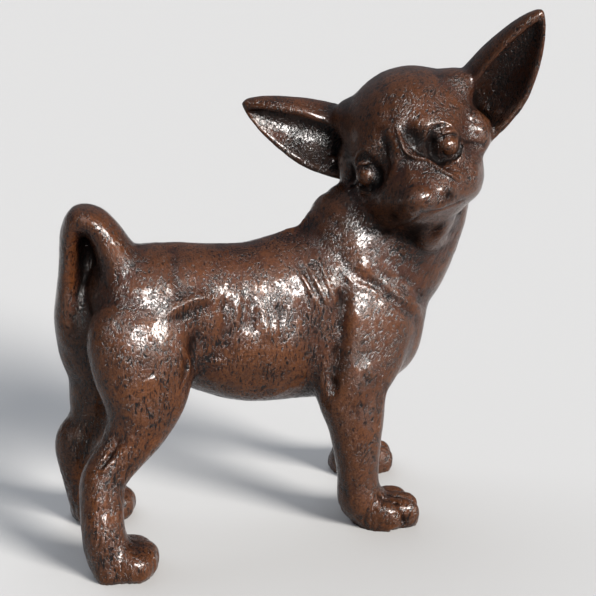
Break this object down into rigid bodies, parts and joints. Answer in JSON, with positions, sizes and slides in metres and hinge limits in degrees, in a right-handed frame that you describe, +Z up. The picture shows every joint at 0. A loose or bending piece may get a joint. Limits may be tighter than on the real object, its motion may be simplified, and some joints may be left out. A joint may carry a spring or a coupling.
{
  "type": "dog statue",
  "caption": "Standing short-haired toy dog statue in cast aluminium, head turned to one side, large upright ears and a tail curled over its back.",
  "frame": {"origin": "centre of the bounding box at the level of the soles", "axes": "+X the way the body faces, +Y the dog's left, +Z up"},
  "size_m": [0.2836, 0.1418, 0.32],
  "materials": {
    "patina": "dark brown patina rubbed black in the hollows, under a glossy clear lacquer"
  },
  "bodies": {
    "root": {"chihuahua": "patina"}
  },
  "joints": []
}
